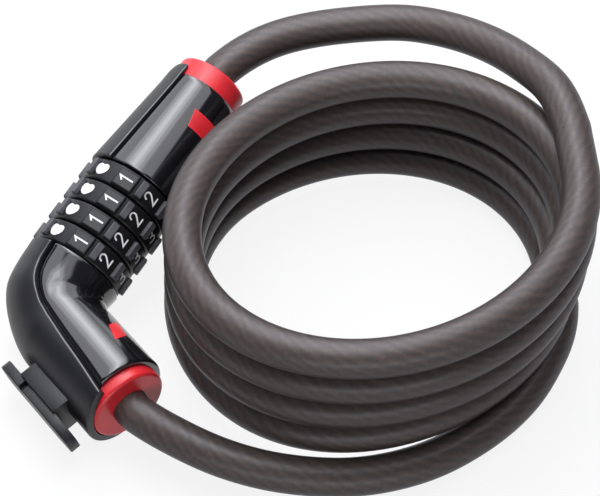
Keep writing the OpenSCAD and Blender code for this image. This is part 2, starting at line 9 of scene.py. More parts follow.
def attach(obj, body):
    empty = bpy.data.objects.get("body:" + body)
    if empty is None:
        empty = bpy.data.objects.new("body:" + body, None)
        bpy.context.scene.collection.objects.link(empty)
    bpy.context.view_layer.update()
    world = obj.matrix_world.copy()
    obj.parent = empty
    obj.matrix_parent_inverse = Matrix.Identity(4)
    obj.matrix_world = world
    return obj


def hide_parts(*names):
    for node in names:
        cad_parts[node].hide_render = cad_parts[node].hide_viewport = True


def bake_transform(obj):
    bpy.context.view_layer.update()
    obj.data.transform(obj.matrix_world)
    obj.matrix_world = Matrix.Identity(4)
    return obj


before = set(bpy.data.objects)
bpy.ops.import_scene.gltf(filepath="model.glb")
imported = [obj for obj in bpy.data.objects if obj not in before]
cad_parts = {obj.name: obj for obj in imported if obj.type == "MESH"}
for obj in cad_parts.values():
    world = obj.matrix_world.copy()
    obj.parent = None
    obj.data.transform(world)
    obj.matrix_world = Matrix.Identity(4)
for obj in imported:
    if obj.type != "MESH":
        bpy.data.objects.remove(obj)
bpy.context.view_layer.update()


# The table and the room: a white board under a large soft box, hung above and behind the lock and
# brighter along its middle, with low cards in front, behind and to one side, in a dim grey room
# that is a little brighter low down.
scene = bpy.context.scene
scene.view_settings.view_transform = "Standard"

camera = bpy.data.objects.new("camera", bpy.data.cameras.new("camera"))
camera.location = (0.05571, -0.48318, 0.6217)
camera.rotation_euler = (math.radians(39), 0, 0)
camera.data.sensor_width = 36
camera.data.lens = 145.8
camera.data.clip_end = 30
scene.collection.objects.link(camera)
scene.camera = camera

board_mesh = bpy.data.meshes.new("table_board")
board_mesh.from_pydata([(-5, -5, 0), (5, -5, 0), (5, 5, 0), (-5, 5, 0)], [], [(0, 1, 2, 3)])
board = bpy.data.objects.new("table_board", board_mesh)
scene.collection.objects.link(board)
board_finish = bpy.data.materials.new("white_board")
board_finish.use_nodes = True
nodes, links = board_finish.node_tree.nodes, board_finish.node_tree.links
board_shader = nodes["Principled BSDF"]
board_shader.inputs["Roughness"].default_value = 0.9
board_shader.inputs["Specular IOR Level"].default_value = 0.1
board_glow = nodes.new("ShaderNodeEmission")
seen_by = nodes.new("ShaderNodeLightPath")
seen_plain = nodes.new("ShaderNodeMath")
seen_plain.operation = "MAXIMUM"
links.new(seen_by.outputs["Is Camera Ray"], seen_plain.inputs[0])
links.new(seen_by.outputs["Is Glossy Ray"], seen_plain.inputs[1])
seen_through = nodes.new("ShaderNodeMath")
seen_through.operation = "MAXIMUM"
links.new(seen_plain.outputs[0], seen_through.inputs[0])
links.new(seen_by.outputs["Is Transmission Ray"], seen_through.inputs[1])
glow_share = nodes.new("ShaderNodeMath")
glow_share.operation = "MULTIPLY"
glow_share.inputs[1].default_value = 0.86
links.new(seen_through.outputs[0], glow_share.inputs[0])
board_tone = nodes.new("ShaderNodeMapRange")
board_tone.inputs["To Min"].default_value = 0.12
board_tone.inputs["To Max"].default_value = 0.86
links.new(seen_through.outputs[0], board_tone.inputs["Value"])
links.new(board_tone.outputs["Result"], board_shader.inputs["Base Color"])
board_mix = nodes.new("ShaderNodeMixShader")
links.new(glow_share.outputs[0], board_mix.inputs["Fac"])
links.new(board_shader.outputs[0], board_mix.inputs[1])
links.new(board_glow.outputs[0], board_mix.inputs[2])
links.new(board_mix.outputs[0], nodes["Material Output"].inputs["Surface"])
board_mesh.materials.append(board_finish)

# Each lamp: its name, size, place, lean and turn in degrees, and power
lamps = (("soft_box", (1.16, 1.12), (-0.065, 0.5, 0.6), 0, 0, 8.5),
         ("soft_box_middle", (0.36, 1.2), (0.01, 0.35, 0.59), 0, 0, 2.4),
         ("soft_box_heart", (0.2, 1.0), (0.01, 0.38, 0.58), 0, 0, 1.2),
         ("soft_box_tube", (0.08, 0.8), (0.01, 0.42, 0.57), 0, 0, 0.4),
         ("front_card", (1.4, 0.3), (0.2, -1.1, 0.3), 84, 0, 4.7),
         ("back_card", (1.5, 0.4), (-0.1, 1.15, 0.38), -74, 0, 3),
         ("rim_card", (0.9, 0.26), (-0.8, 0.78, 0.14), 88, -134, 1.4))
lamp_tone = (0.95, 0.96, 1.0)
for name, size, place, lean, turn, power in lamps:
    lamp = bpy.data.objects.new(name, bpy.data.lights.new(name, "AREA"))
    lamp.data.shape = "RECTANGLE"
    lamp.data.size, lamp.data.size_y = size
    lamp.data.energy = power
    lamp.data.color = lamp_tone
    lamp.location = place
    lamp.rotation_euler = (math.radians(lean), 0, math.radians(turn))
    scene.collection.objects.link(lamp)

room = bpy.data.worlds.new("room")
room.use_nodes = True
scene.world = room
room_nodes = room.node_tree.nodes
room_links = room.node_tree.links
room_way = room_nodes.new("ShaderNodeTexCoord")
room_split = room_nodes.new("ShaderNodeSeparateXYZ")
room_shade = room_nodes.new("ShaderNodeValToRGB")
room_shade.color_ramp.elements[0].position = 0.12
room_shade.color_ramp.elements[0].color = (0.116, 0.12, 0.144, 1)
room_shade.color_ramp.elements[1].position = 0.24
room_shade.color_ramp.elements[1].color = (0.08, 0.083, 0.1, 1)
room_links.new(room_way.outputs["Generated"], room_split.inputs["Vector"])
room_links.new(room_split.outputs["Z"], room_shade.inputs["Fac"])
room_links.new(room_shade.outputs["Color"], room_nodes["Background"].inputs["Color"])


# The lock body: a glossy black elbow moulded in one piece, hollow, with a polished skin. Its bend
# is one smooth form, and its edges roll over into the groove and the recess for the matte cover.
head = Matrix.Translation((-0.02429, -0.01748, 0.01568)) @ Euler(
    (math.radians(76), math.radians(4), math.radians(145)), "XYZ").to_matrix().to_4x4()
head_mm = head @ Matrix.Scale(0.001, 4)
# Sizes of the head, in millimetres and degrees
bend = 72.0
bend_r = 10.0
bend_run = bend_r * math.tan(math.radians(bend / 2))
limb_half = 16.3
limb_low = 15.3
bend_half = 14.4
body_top = 16.3
arm_len = 42.0
crotch_fillet = 2.5
recess, recess_deep = 1.43, 1.3
edge_roll = (2.4, 1.25)
roll_r = 14.5
barrel_bore, body_bore = 12.05, 10.03
arm_z = (-math.sin(math.radians(bend)), -math.cos(math.radians(bend)))
arm_x = (math.cos(math.radians(bend)), -math.sin(math.radians(bend)))
fan_out = 17.0
fan_high = bend_run + (fan_out - bend_r) * math.tan(math.radians(bend / 2))


def noise(finish, scale, detail):
    """Amount of a noise of a scale and detail at each spot of a finish."""
    nodes, links = finish.node_tree.nodes, finish.node_tree.links
    where = nodes.new("ShaderNodeTexCoord")
    cloud = nodes.new("ShaderNodeTexNoise")
    cloud.inputs["Scale"].default_value = scale
    cloud.inputs["Detail"].default_value = detail
    links.new(where.outputs["Object"], cloud.inputs["Vector"])
    return cloud.outputs["Fac"]


def moulded(name, colour, uneven, rough, grain, depth, fine, **sockets):
    """Moulded plastic: an uneven colour, a skin with grain of a size and depth, and other values
    for the shader's sockets, named with _ for a space."""
    finish = bpy.data.materials.new(name)
    finish.use_nodes = True
    nodes, links = finish.node_tree.nodes, finish.node_tree.links
    shader = nodes["Principled BSDF"]
    cloud = noise(finish, 160, 3)
    skin = noise(finish, 1 / grain, fine)
    tint = nodes.new("ShaderNodeValToRGB")
    tint.color_ramp.elements[0].position = 0.3
    tint.color_ramp.elements[0].color = [c * (1 - uneven) for c in colour] + [1]
    tint.color_ramp.elements[1].position = 0.7
    tint.color_ramp.elements[1].color = [min(1, c * (1 + uneven)) for c in colour] + [1]
    links.new(cloud, tint.inputs["Fac"])
    links.new(tint.outputs["Color"], shader.inputs["Base Color"])
    sheen = nodes.new("ShaderNodeMapRange")
    sheen.inputs["From Min"].default_value = 0.3
    sheen.inputs["From Max"].default_value = 0.7
    sheen.inputs["To Min"].default_value = rough * 0.85
    sheen.inputs["To Max"].default_value = rough * 1.15
    links.new(skin, sheen.inputs["Value"])
    links.new(sheen.outputs["Result"], shader.inputs["Roughness"])
    bump = nodes.new("ShaderNodeBump")
    bump.inputs["Strength"].default_value = 1
    bump.inputs["Distance"].default_value = depth
    links.new(skin, bump.inputs["Height"])
    links.new(bump.outputs["Normal"], shader.inputs["Normal"])
    for label, value in sockets.items():
        shader.inputs[label.replace("_", " ")].default_value = value
    return finish


def meshed(name, bm):
    """Mesh of a finished form, which is let go."""
    mesh = bpy.data.meshes.new(name)
    bm.to_mesh(mesh)
    bm.free()
    return mesh


def new_piece(name, mesh, *finishes):
    """An object at the origin that shows a mesh in its finishes."""
    for finish in finishes[len(mesh.materials):]:
        mesh.materials.append(finish)
    piece = bpy.data.objects.new(name, mesh)
    scene.collection.objects.link(piece)
    return piece


def smoothed(mesh, crease):
    """Shades a mesh smoothly, apart from edges sharper than an angle in degrees."""
    mesh.shade_smooth()
    mesh.set_sharp_from_angle(angle=math.radians(crease))


def eased(knots, at):
    """Smooth value at a place along a row of (place, value) knots."""
    if at <= knots[0][0]:
        return knots[0][1]
    for k in range(len(knots) - 1):
        (x0, y0), (x1, y1) = knots[k], knots[k + 1]
        if at <= x1:
            xa, ya = knots[max(k - 1, 0)]
            xb, yb = knots[min(k + 2, len(knots) - 1)]
            s0, s1 = (y1 - ya) / (x1 - xa), (yb - y0) / (xb - x0)
            w, t = x1 - x0, (at - x0) / (x1 - x0)
            return ((2 * t**3 - 3 * t**2 + 1) * y0 + (t**3 - 2 * t**2 + t) * w * s0
                    + (3 * t**2 - 2 * t**3) * y1 + (t**3 - t**2) * w * s1)
    return knots[-1][1]


def limb_radius(z):
    """The elbow's radius on the dial side, wider towards the dials."""
    ease = 5.0
    slope = (limb_half - limb_low) / (math.hypot(body_top - bend_run, ease) - ease)
    return limb_low + slope * (np.hypot(z - bend_run, ease) - ease)


def arm_radius(t):
    """The elbow's radius on the cable side."""
    return bend_half + 0.3 * (t - bend_run) / (arm_len - bend_run)


def outside_elbow(x, y, z):
    """How far points lie outside the elbow's skin: two limbs, a knee and a fillet in the crotch."""
    limb_z = np.maximum(z, bend_run)
    limb = np.sqrt(x * x + y * y + (z - limb_z) ** 2) - limb_radius(limb_z)
    along = x * arm_z[0] + z * arm_z[1]
    aside = x * arm_x[0] + z * arm_x[1]
    arm_t = np.maximum(along, bend_run)
    arm = np.sqrt(aside * aside + y * y + (along - arm_t) ** 2) - arm_radius(arm_t)
    share = np.clip(0.5 + 0.5 * (arm - limb) / crotch_fillet, 0, 1)
    joined = arm + (limb - arm) * share - crotch_fillet * share * (1 - share)
    way = np.degrees(np.arctan2(bend_run - z, x + bend_r))
    part = np.clip(way / bend, 0, 1)
    knee_half = limb_low + (bend_half - limb_low) * part * part * (3 - 2 * part)
    knee = np.hypot(np.hypot(x + bend_r, z - bend_run) - bend_r, y) - knee_half
    return np.where((way >= 0) & (way <= bend), np.minimum(knee, joined), joined)


def elbow_section(run):
    """Middle and outward way of a section: run is below 0 on the dial limb, 0 to bend round the
    bend in degrees, and beyond that along the arm in millimetres."""
    if run <= 0:
        return (0.0, fan_high - run), (1.0, 0.0)
    if run >= bend:
        t = fan_high + run - bend
        return (t * arm_z[0], t * arm_z[1]), arm_x
    a, half = math.radians(run), math.radians(bend / 2)
    straight = math.atan2(fan_high - bend_run, fan_out)
    if a < straight:
        out = fan_out / math.cos(a)
    elif a > 2 * half - straight:
        out = fan_out / math.cos(2 * half - a)
    else:
        back = (fan_out - bend_r) / math.cos(half)
        out = back * math.cos(a - half) + math.sqrt(bend_r**2 - (back * math.sin(a - half)) ** 2)
    way = (math.cos(a), -math.sin(a))
    return (out * way[0] - fan_out, out * way[1] + fan_high), way


def elbow_radii(run, turns):
    """Radius of the elbow's skin in a section, at angles from its outside."""
    (x0, z0), way = elbow_section(run)
    across, up = np.cos(turns), np.sin(turns)
    low, high = np.full(len(turns), 4.0), np.full(len(turns), 16.9)
    high[across > -0.5] = 24.0
    for _ in range(34):
        mid = (low + high) / 2
        out = outside_elbow(x0 + mid * across * way[0], mid * up, z0 + mid * across * way[1]) > 0
        high, low = np.where(out, mid, high), np.where(out, low, mid)
    return (low + high) / 2


def in_section(run, turns, radii, forward=0.0):
    """Points of the head at angles and radii in a section, moved on along the arm."""
    (x0, z0), way = elbow_section(run)
    return [(x0 + r * math.cos(a) * way[0] + f * arm_z[0], r * math.sin(a),
             z0 + r * math.cos(a) * way[1] + f * arm_z[1])
            for a, r, f in zip(turns, radii, np.broadcast_to(forward, len(turns)))]


def walled(name, outer, inner, ring, edge=0):
    """Mesh of a wall between two sheets of points in rows, where ring closes each row on itself.
    The first and last columns, as many as edge says, take the second finish."""
    bm = bmesh.new()
    out = [[bm.verts.new(p) for p in row] for row in outer]
    into = [[bm.verts.new(p) for p in row] for row in inner]
    wide = len(out[0])
    spans = [(j, (j + 1) % wide) for j in range(wide if ring else wide - 1)]
    for i in range(len(out) - 1):
        for j, k in spans:
            skin = bm.faces.new((out[i][j], out[i][k], out[i + 1][k], out[i + 1][j]))
            skin.material_index = int(min(j, wide - 2 - j) < edge)
            bm.faces.new((into[i][j], into[i + 1][j], into[i + 1][k], into[i][k]))
        for j in () if ring else (0, wide - 1):
            bm.faces.new((out[i][j], out[i + 1][j], into[i + 1][j], into[i][j]))
    for i in (0, len(out) - 1):
        for j, k in spans:
            bm.faces.new((out[i][j], out[i][k], into[i][k], into[i][j]))
    bmesh.ops.recalc_face_normals(bm, faces=bm.faces)
    mesh = meshed(name, bm)
    mesh.transform(head_mm)
    smoothed(mesh, 40)
    return mesh


def rolled_turns(first, last, radius, roll, steps):
    """Angles and depths of a skin from its first edge to its last, with both edges rolled over by a
    width and a depth."""
    corner = [math.radians(11.25 * k) for k in range(9)]
    edge = [roll[0] * (1 - math.cos(a)) / radius for a in corner]
    depths = [roll[1] * (1 - math.sin(a)) for a in corner]
    span = last - first - 2 * edge[-1]
    middle = [first + edge[-1] + span * k / steps for k in range(1, steps)]
    return ([first + e for e in edge] + middle + [last - e for e in reversed(edge)],
            depths + [0.0] * len(middle) + depths[::-1])


def evenly(start, stop, count):
    """Places from start up to, and without, stop."""
    return [start + (stop - start) * k / count for k in range(count)]


# The groove's way along the side of the elbow: (run, distance outward from the middle line)
groove_line = [(-4, 3.0), (9, 2.7), (24, 1.2), (40, 0.0), (50, 0.1), (69, 0.9), (72, 1.0),
               (80.7, 2.0), (91.7, 3.0), (101.7, 4.2), (105, 4.5)]


def seam_turn(run, beside):
    """Angle of the groove in a section, at a distance beside its inner edge."""
    turn = math.pi / 2
    for _ in range(6):
        turn = math.acos((eased(groove_line, run) + beside) / elbow_radii(run, np.array([turn]))[0])
    return turn


top_run = fan_high - body_top
arm_end = bend + arm_len - fan_high
shell_rows = ([(top_run, 0.5), (top_run + 0.12, 0.2), (top_run + 0.35, 0.05)]
              + [(r, 0) for r in evenly(top_run + 0.7, 0, 5)]
              + [(r, 0) for r in evenly(0, bend, 48)]
              + [(r, 0) for r in evenly(bend, arm_end - 1, 24)]
              + [(arm_end - 0.9, 0), (arm_end - 0.5, 0.08), (arm_end - 0.2, 0.3), (arm_end, 0.8)])
outer, inner = [], []
for run, sunk in shell_rows:
    seam = seam_turn(run, 0)
    turns, depths = rolled_turns(seam, 2 * math.pi - seam, roll_r, edge_roll, 64)
    floor = [-seam + 2 * seam * k / 16 for k in range(17)]
    turns += floor
    depths += [recess + recess_deep * max(0, math.cos(a)) for a in floor]
    skin = elbow_radii(run, np.array(turns)) - np.array(depths) - sunk
    bore = barrel_bore if run < top_run + 2 else body_bore
    outer.append(in_section(run, turns, skin))
    inner.append(in_section(run, turns, [bore] * len(turns)))
polished_black = moulded("polished_black", (0.006, 0.006, 0.0075), 0.3, 0.14, 0.004, 0.000004, 2,
                         IOR=1.6, Coat_Weight=0.5, Coat_Roughness=0.1)
body = new_piece("glossy_elbow", walled("glossy_elbow", outer, inner, True), polished_black)
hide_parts("body_shell")
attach(body, "lock_body")


# The matte cover: a second moulding snapped over the outside of the elbow, left with the fine grain
# of a spark-eroded mould. Its free edges are rounded and catch the light beside the groove.
cover_proud = 0.6
cover_t = 2.0
groove = 0.7
cover_roll = (0.65, 0.65)
edge_columns = 8
lip_lean, lip_bore = 1.6, 12.85
cover_end = arm_end + 2
# How far the cover's spine stands from the middle line: (run, distance)
cover_spine = [(-4, 16.5), (0, 16.35), (9, 16.25), (18, 16.0), (24, 15.6), (30, 14.95),
               (37, 14.3), (44, 14.0), (52, 14.2), (59, 14.8), (68, 15.35), (74, 15.45),
               (82, 15.5), (92, 15.35), (106, 15.3)]
cover_rows = ([(top_run, 0.45, 0), (top_run + 0.12, 0.2, 0), (top_run + 0.4, 0, 0)]
              + [(r, 0, 0) for r in evenly(top_run + 0.8, 0, 5)]
              + [(r, 0, 0) for r in evenly(0, bend, 48)]
              + [(r, 0, 0) for r in evenly(bend, arm_end - 0.1, 22)]
              + [(arm_end + 0.1, 0, 0.05), (arm_end + 0.8, 0, 0.4), (cover_end - 0.6, 0, 0.8),
                 (cover_end - 0.25, 0.1, 0.92), (cover_end, 0.45, 1)])
outer, inner = [], []
for run, sunk, lean in cover_rows:
    edge = seam_turn(run, groove)
    turns, depths = rolled_turns(-edge, edge, 15, cover_roll, 48)
    spine = eased(cover_spine, run) - elbow_radii(run, np.zeros(1))[0] - cover_proud
    share = np.clip((np.cos(turns) - math.cos(edge)) / (1 - math.cos(edge)), 0, 1)
    skin = elbow_radii(run, np.array(turns)) + cover_proud + spine * share**0.6
    under = skin - cover_t if run < arm_end else np.full(len(turns), lip_bore)
    outer.append(in_section(run, turns, skin - np.array(depths) - sunk, lip_lean * lean * share))
    inner.append(in_section(run, turns, under, lip_lean * lean * share))
grained_black = moulded("grained_black", (0.009, 0.009, 0.0125), 0.2, 0.44, 0.0004, 0.00003, 4)
# The covers' rolled edges take a glossier black that is also lighter: the glossier finish is real,
# the lighter colour is a painted highlight along the edge.
rubbed_black = moulded("rubbed_black", (0.02, 0.02, 0.023), 0.2, 0.18, 0.0008, 0.000006, 3, IOR=1.7)
mesh = walled("matte_cover", outer, inner, False, edge_columns)
cover = new_piece("matte_cover", mesh, grained_black, rubbed_black)
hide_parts("body_cover")
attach(cover, "lock_body")


# The bracket tongue: a chamfered plate on a pedestal, moulded on the back of the arm's cover, that
# slides into a holder. A notch in its upper edge takes the holder's catch.
plate_low, plate_high = 19.1, 22.5
# The plate's rim: (distance along the arm, height across it)
plate_rim = [(9.0, 3.4), (9.5, 4.8), (10.9, 5.8), (19.3, 5.8), (19.3, 3.9), (21.1, 3.9),
             (21.1, 5.2), (23.4, 5.2), (23.4, 5.8), (36.8, 5.8), (43.9, 3.3), (45.0, 2.0),
             (45.0, -2.0), (43.9, -3.3), (36.8, -5.8), (10.9, -5.8), (9.5, -4.8), (9.0, -3.4)]
pedestal_out, pedestal_along = 16.2, 26
pedestal_size = (6.6, 14, 18)


def in_arm(out, up, along):
    """Point of the head from a place in the arm: outward, upward and along it."""
    return (out * arm_x[0] + along * arm_z[0], up, out * arm_x[1] + along * arm_z[1])


bm = bmesh.new()
low = [bm.verts.new(in_arm(plate_low, up, t)) for t, up in plate_rim]
high = [bm.verts.new(in_arm(plate_high, up, t)) for t, up in plate_rim]
bm.faces.new(low)
bm.faces.new(high[::-1])
for k in range(len(low)):
    j = (k + 1) % len(low)
    bm.faces.new((low[k], low[j], high[j], high[k]))
block = bmesh.ops.create_cube(bm, size=1)["verts"]
for v in block:
    v.co = in_arm(pedestal_out + v.co.x * pedestal_size[0], v.co.y * pedestal_size[1],
                  pedestal_along + v.co.z * pedestal_size[2])
bmesh.ops.recalc_face_normals(bm, faces=bm.faces)
rim_edges = [e for e in bm.edges if all(v in high for v in e.verts)]
rest = [e for e in bm.edges if e not in set(rim_edges)]
rounded = {"profile": 0.5, "affect": "EDGES", "clamp_overlap": True}
bmesh.ops.bevel(bm, geom=rim_edges, offset=0.8, segments=3, **rounded)
corners = [e for e in rest if e.is_valid and len(e.link_faces) == 2
           and e.calc_face_angle(0) > 0.6]
bmesh.ops.bevel(bm, geom=corners, offset=0.3, segments=2, **rounded)
mesh = meshed("bracket_tongue", bm)
mesh.transform(head_mm)
smoothed(mesh, 40)
tongue = new_piece("bracket_tongue", mesh, grained_black)
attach(tongue, "lock_body")


# The red trim of the body: a cap around the cable at the arm's end and an inlay in a slanted window
# on each side of the glossy arm, moulded in red and pressed into place.
def dress(finish, *names):
    """Gives CAD nodes a finish."""
    for name in names:
        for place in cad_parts[name].material_slots:
            place.material = finish


satin_red = moulded("satin_red", (0.72, 0.024, 0.034), 0.1, 0.33, 0.0008, 0.000012, 3)
dress(satin_red, "arm_cap")

# The window's ends, as its two corners: (distance along the arm, turn in degrees)
window_near = ((25.0, 136), (23.25, 159))
window_far = ((31.5, 127), (30.5, 149))
window_steps = 12
inlay_proud, inlay_deep = 0.12, 0.7
bm = bmesh.new()
for side in (1, -1):
    outer, inner = [], []
    for k in range(window_steps + 1):
        (t0, a0), (t1, a1) = [[p + (q - p) * k / window_steps for p, q in zip(*ends)]
                              for ends in zip(window_near, window_far)]
        run = bend + (t0 + t1) / 2 - fan_high
        turns = side * np.radians(np.linspace(a0, a1, window_steps + 1))
        ahead = np.linspace(t0 - t1, t1 - t0, window_steps + 1) / 2
        skin = elbow_radii(run, turns)
        outer.append(in_section(run, turns, skin + inlay_proud, ahead))
        inner.append(in_section(run, turns, skin - inlay_deep, ahead))
    bm.from_mesh(walled("arm_red_inlay_side", outer, inner, False))
mesh = meshed("arm_red_inlay", bm)
smoothed(mesh, 40)
inlay = new_piece("arm_red_inlay", mesh, satin_red)
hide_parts("body_inlay")
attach(inlay, "lock_body")


# The parts inside: a cast zinc barrel with brass code wheels, and steel pins, leaf, ring and
# screw. They show only when the plug is pulled out or the lock is cut open.
def metal(name, colour, rough, tool_marks):
    """Cut or cast metal, with fine marks of a spacing."""
    return moulded(name, colour, 0.1, rough, tool_marks, 0.00001, 5, Metallic=1)


dress(metal("cast_zinc", (0.56, 0.57, 0.58), 0.42, 0.0006),
      "core_barrel", "arm_ferrule", "plug_ferrule")
dress(metal("turned_brass", (0.74, 0.55, 0.25), 0.32, 0.0003),
      "code_wheel_1", "code_wheel_2", "code_wheel_3", "code_wheel_4")
dress(metal("bright_steel", (0.68, 0.69, 0.71), 0.24, 0.0003), "bolt_pin", "barrel_screw",
      "detent_spring", "retaining_ring", "arm_cross_pin", "plug_cross_pin")


# The number dials: four rings of satin black plastic, each with a finger rib after a number
# and two flat thumb pads, and with its numbers printed in white.
dial_wide = 8.0
dial_pitch = 8.3
dial_first = 16.6
dial_index = 70.0
dial_bore = 12.05
dial_rim = 15.75
pad_face, pad_sunk = 16.25, 0.15
fields, pads_apart = 10, 5
mark_step = 360 / fields
rib_after = 21.5
mark_tall, stroke_wide, mark_thick = 4.4, 0.54, 0.14
zero_half = 2.2
satin_black = moulded("satin_black", (0.008, 0.008, 0.0095), 0.2, 0.38, 0.0005, 0.00001, 3,
                      Specular_IOR_Level=0.32)
# The ribs' lighter grey is a painted highlight: it stands in for the light that the rib tops catch.
worn_black = moulded("worn_black", (0.065, 0.065, 0.074), 0.25, 0.5, 0.0004, 0.00003, 4)
mark_white = moulded("mark_white", (0.82, 0.81, 0.80), 0.05, 0.45, 0.0005, 0.00001, 3)


def turned_ring(profile, steps):
    """Mesh of a closed profile of (radius, height) points turned about Z."""
    bm = bmesh.new()
    rows = []
    for k in range(steps):
        a = 2 * math.pi * k / steps
        rows.append([bm.verts.new((r * math.cos(a), r * math.sin(a), z)) for r, z in profile])
    for k in range(steps):
        here, there = rows[k], rows[(k + 1) % steps]
        for i in range(len(profile)):
            j = (i + 1) % len(profile)
            bm.faces.new((here[i], there[i], there[j], here[j]))
    bmesh.ops.recalc_face_normals(bm, faces=bm.faces)
    return bm


def block_mesh(name, out, wide, long, low, rounding, frame_wide, sunk):
    """Block that stands out along X from a radius, with rounded edges and a sunk top."""
    bm = bmesh.new()
    bmesh.ops.create_cube(bm, size=1)
    for v in bm.verts:
        v.co = ((low + out) / 2 + v.co.x * (out - low), v.co.y * wide,
                dial_wide / 2 + v.co.z * long)
    edges = [e for e in bm.edges if any(v.co.x > low + 0.1 for v in e.verts)]
    bmesh.ops.bevel(bm, geom=edges, offset=rounding, segments=3, profile=0.5, affect="EDGES")
    top = max((f for f in bm.faces if f.normal.x > 0.99), key=lambda f: f.calc_area())
    bmesh.ops.inset_region(bm, faces=[top], thickness=frame_wide, depth=0)
    bmesh.ops.inset_region(bm, faces=[top], thickness=sunk, depth=-sunk)
    return meshed(name, bm)


def nodes_tree(name, *inputs):
    """Empty node tree with named inputs, its first and last node, and a maker of linked nodes."""
    tree = bpy.data.node_groups.new(name, "GeometryNodeTree")
    for label, kind in (("Geometry", "NodeSocketGeometry"),) + inputs:
        tree.interface.new_socket(label, in_out="INPUT", socket_type=kind)
    tree.interface.new_socket("Geometry", in_out="OUTPUT", socket_type="NodeSocketGeometry")
    first = tree.nodes.new("NodeGroupInput")
    last = tree.nodes.new("NodeGroupOutput")

    def add(kind, links=(), **settings):
        node = tree.nodes.new(kind)
        for key, value in settings.items():
            setattr(node, key, value)
        for socket, value in links:
            if isinstance(value, bpy.types.NodeSocket):
                tree.links.new(value, node.inputs[socket])
            else:
                node.inputs[socket].default_value = value
        return node

    return tree, first, last, add


def grown(name, base, tree, **sizes):
    """Plain mesh that a node tree makes from a base mesh with these sizes."""
    holder = bpy.data.objects.new(name, base)
    scene.collection.objects.link(holder)
    grower = holder.modifiers.new("grow", "NODES")
    grower.node_group = tree
    for item in tree.interface.items_tree:
        if item.in_out == "INPUT" and item.name.replace(" ", "_") in sizes:
            grower[item.identifier] = sizes[item.name.replace(" ", "_")]
    bpy.context.view_layer.update()
    shown = holder.evaluated_get(bpy.context.evaluated_depsgraph_get())
    made = bpy.data.meshes.new_from_object(shown)
    bpy.data.objects.remove(holder)
    made.name = name
    return made


rib_tree, rib_in, rib_out, add = nodes_tree(
    "ribs_around_dial", ("Count", "NodeSocketInt"), ("First Angle", "NodeSocketFloat"),
    ("Skip Every", "NodeSocketInt"), ("Keep Skipped", "NodeSocketBool"),
    ("Finish", "NodeSocketMaterial"))
spots = add("GeometryNodePoints", [("Count", rib_in.outputs["Count"])])
number = add("GeometryNodeInputIndex")
step = add("ShaderNodeMath", [(0, 2 * math.pi), (1, rib_in.outputs["Count"])], operation="DIVIDE")
angle = add("ShaderNodeMath", [(0, number.outputs[0]), (1, step.outputs[0]),
                               (2, rib_in.outputs["First Angle"])], operation="MULTIPLY_ADD")
turn = add("ShaderNodeCombineXYZ", [("Z", angle.outputs[0])])
left = add("ShaderNodeMath", [(0, number.outputs[0]), (1, rib_in.outputs["Skip Every"])],
           operation="MODULO")
skipped = add("FunctionNodeCompare", [("A", left.outputs[0]), ("B", 0.5)], operation="LESS_THAN")
kept = add("FunctionNodeBooleanMath",
           [(0, skipped.outputs[0]), (1, rib_in.outputs["Keep Skipped"])], operation="XNOR")
copies = add("GeometryNodeInstanceOnPoints",
             [("Points", spots.outputs[0]), ("Selection", kept.outputs[0]),
              ("Instance", rib_in.outputs["Geometry"]), ("Rotation", turn.outputs[0])])
real = add("GeometryNodeRealizeInstances", [("Geometry", copies.outputs[0])])
coated = add("GeometryNodeSetMaterial",
             [("Geometry", real.outputs[0]), ("Material", rib_in.outputs["Finish"])])
rib_tree.links.new(coated.outputs[0], rib_out.inputs[0])

finger_rib = block_mesh("finger_rib", out=17.1, wide=2.4, long=5.8, low=14.6, rounding=0.3,
                        frame_wide=0.2, sunk=0.04)
thumb_pad = block_mesh("thumb_pad", out=pad_face + pad_sunk, wide=7.6, long=7.0, low=13.6,
                       rounding=0.6, frame_wide=0.1, sunk=pad_sunk)
ribs = grown("finger_ribs", finger_rib, rib_tree, Count=fields, Skip_Every=pads_apart,
             First_Angle=math.radians(dial_index + rib_after), Keep_Skipped=False,
             Finish=satin_black)
pads = grown("thumb_pads", thumb_pad, rib_tree, Count=fields, Skip_Every=pads_apart,
             First_Angle=math.radians(dial_index + mark_step), Keep_Skipped=True,
             Finish=satin_black)

